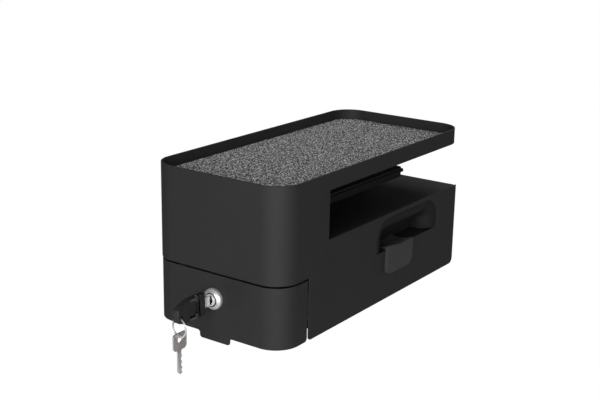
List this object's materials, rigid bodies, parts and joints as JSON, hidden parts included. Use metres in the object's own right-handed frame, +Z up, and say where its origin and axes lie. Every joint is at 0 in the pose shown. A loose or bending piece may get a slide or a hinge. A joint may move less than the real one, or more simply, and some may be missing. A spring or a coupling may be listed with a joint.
{
  "type": "desk-edge locker",
  "caption": "Steel locker that clamps on a desk edge: felt-lined tray above, lockable drawer on telescopic slides below, folding key and a strap hook on its side.",
  "frame": {"origin": "on the desk's top front edge, half-way along the locker's width", "axes": "+X to the right along the desk edge as seen from the front, +Y from the edge over the desk, +Z up; the locker's front face is at Y = -0.081"},
  "size_m": [0.1741, 0.4221, 0.1927],
  "materials": {
    "body_paint": "fine satin powder coat",
    "grey_felt": "speckled needled felt",
    "dark_felt": "needled felt",
    "black_rubber": "matt",
    "black_plastic": "fine moulded grain",
    "key_plastic": "smooth satin",
    "zinc_steel": "zinc plated",
    "black_screws": "black zinc",
    "chrome": "polished",
    "key_nickel": "nickel plated, satin"
  },
  "bodies": {
    "locker_body": {"body_shell": "body_paint", "tray_floor": "body_paint", "tray_mat": "grey_felt", "desk_pads": "black_rubber", "throat_panel": "body_paint", "edge_bumper": "black_rubber", "front_shelf": "body_paint", "lock_catch": "zinc_steel", "back_panel": "body_paint", "base_panel": "body_paint", "back_screws": "black_screws", "hook_recess": "body_paint", "side_hook": "black_plastic", "screw_bushes": "zinc_steel", "drawer_bumpers": "black_rubber", "slide_outer_left": "zinc_steel", "slide_outer_right": "zinc_steel"},
    "clamp": {"clamp_plate": "body_paint", "clamp_pad": "black_rubber"},
    "screw_front": {"clamp_screw_front": "zinc_steel", "clamp_knob_front": "black_plastic"},
    "screw_rear": {"clamp_screw_rear": "zinc_steel", "clamp_knob_rear": "black_plastic"},
    "slide_middles": {"slide_middle_left": "zinc_steel", "slide_middle_right": "zinc_steel"},
    "drawer": {"drawer_front": "body_paint", "drawer_box": "body_paint", "drawer_liner": "dark_felt", "slide_inner_left": "zinc_steel", "slide_inner_right": "zinc_steel", "slide_rivets": "zinc_steel", "front_rivets": "zinc_steel", "lock_housing": "chrome", "lock_nut": "zinc_steel"},
    "plug": {"lock_plug": "chrome", "lock_cam": "zinc_steel", "cam_screw": "zinc_steel"},
    "key": {"key_blade": "key_nickel", "key_fork": "key_plastic", "hinge_pin": "key_nickel"},
    "grip": {"key_grip": "key_plastic"},
    "ring": {"key_ring": "chrome"},
    "spare": {"spare_key": "key_nickel"}
  },
  "joints": [
    {"name": "clamp_lift", "type": "slide", "parent": "locker_body", "child": "clamp", "axis": [0, 0, 1], "range_m": [-0.015, 0.01]},
    {"name": "screw_front_turn", "type": "hinge", "parent": "clamp", "child": "screw_front", "pos_m": [0, 0.06, -0.06], "axis": [0, 0, 1], "range_deg": [-4325, 2885]},
    {"name": "screw_rear_turn", "type": "hinge", "parent": "clamp", "child": "screw_rear", "pos_m": [0, 0.19, -0.06], "axis": [0, 0, 1], "range_deg": [-4325, 2885]},
    {"name": "drawer_slide", "type": "slide", "parent": "locker_body", "child": "drawer", "axis": [0, -1, 0], "range_m": [0, 0.29]},
    {"name": "middle_slide", "type": "slide", "parent": "locker_body", "child": "slide_middles", "axis": [0, -1, 0], "range_m": [0, 0.146]},
    {"name": "lock_turn", "type": "hinge", "parent": "drawer", "child": "plug", "pos_m": [0, -0.07, -0.1105], "axis": [0, 1, 0], "range_deg": [0, 90]},
    {"name": "key_pull", "type": "slide", "parent": "plug", "child": "key", "axis": [0, -1, 0], "range_m": [0, 0.026]},
    {"name": "grip_fold", "type": "hinge", "parent": "key", "child": "grip", "pos_m": [0, -0.1091, -0.1105], "axis": [0, 0, 1], "range_deg": [-90, 90]},
    {"name": "ring_swing", "type": "hinge", "parent": "grip", "child": "ring", "pos_m": [0, -0.1336, -0.1148], "axis": [1, 0, 0], "range_deg": [-30, 30]},
    {"name": "spare_swing", "type": "hinge", "parent": "ring", "child": "spare", "pos_m": [0, -0.1336, -0.13723], "axis": [1, 0, 0], "range_deg": [-30, 30]}
  ],
  "couplings": [
    {"joint": "screw_front_turn", "follows": "clamp_lift", "rad_per_m": 5026.5},
    {"joint": "screw_rear_turn", "follows": "clamp_lift", "rad_per_m": 5026.5},
    {"joint": "middle_slide", "follows": "drawer_slide", "ratio": 0.5}
  ]
}
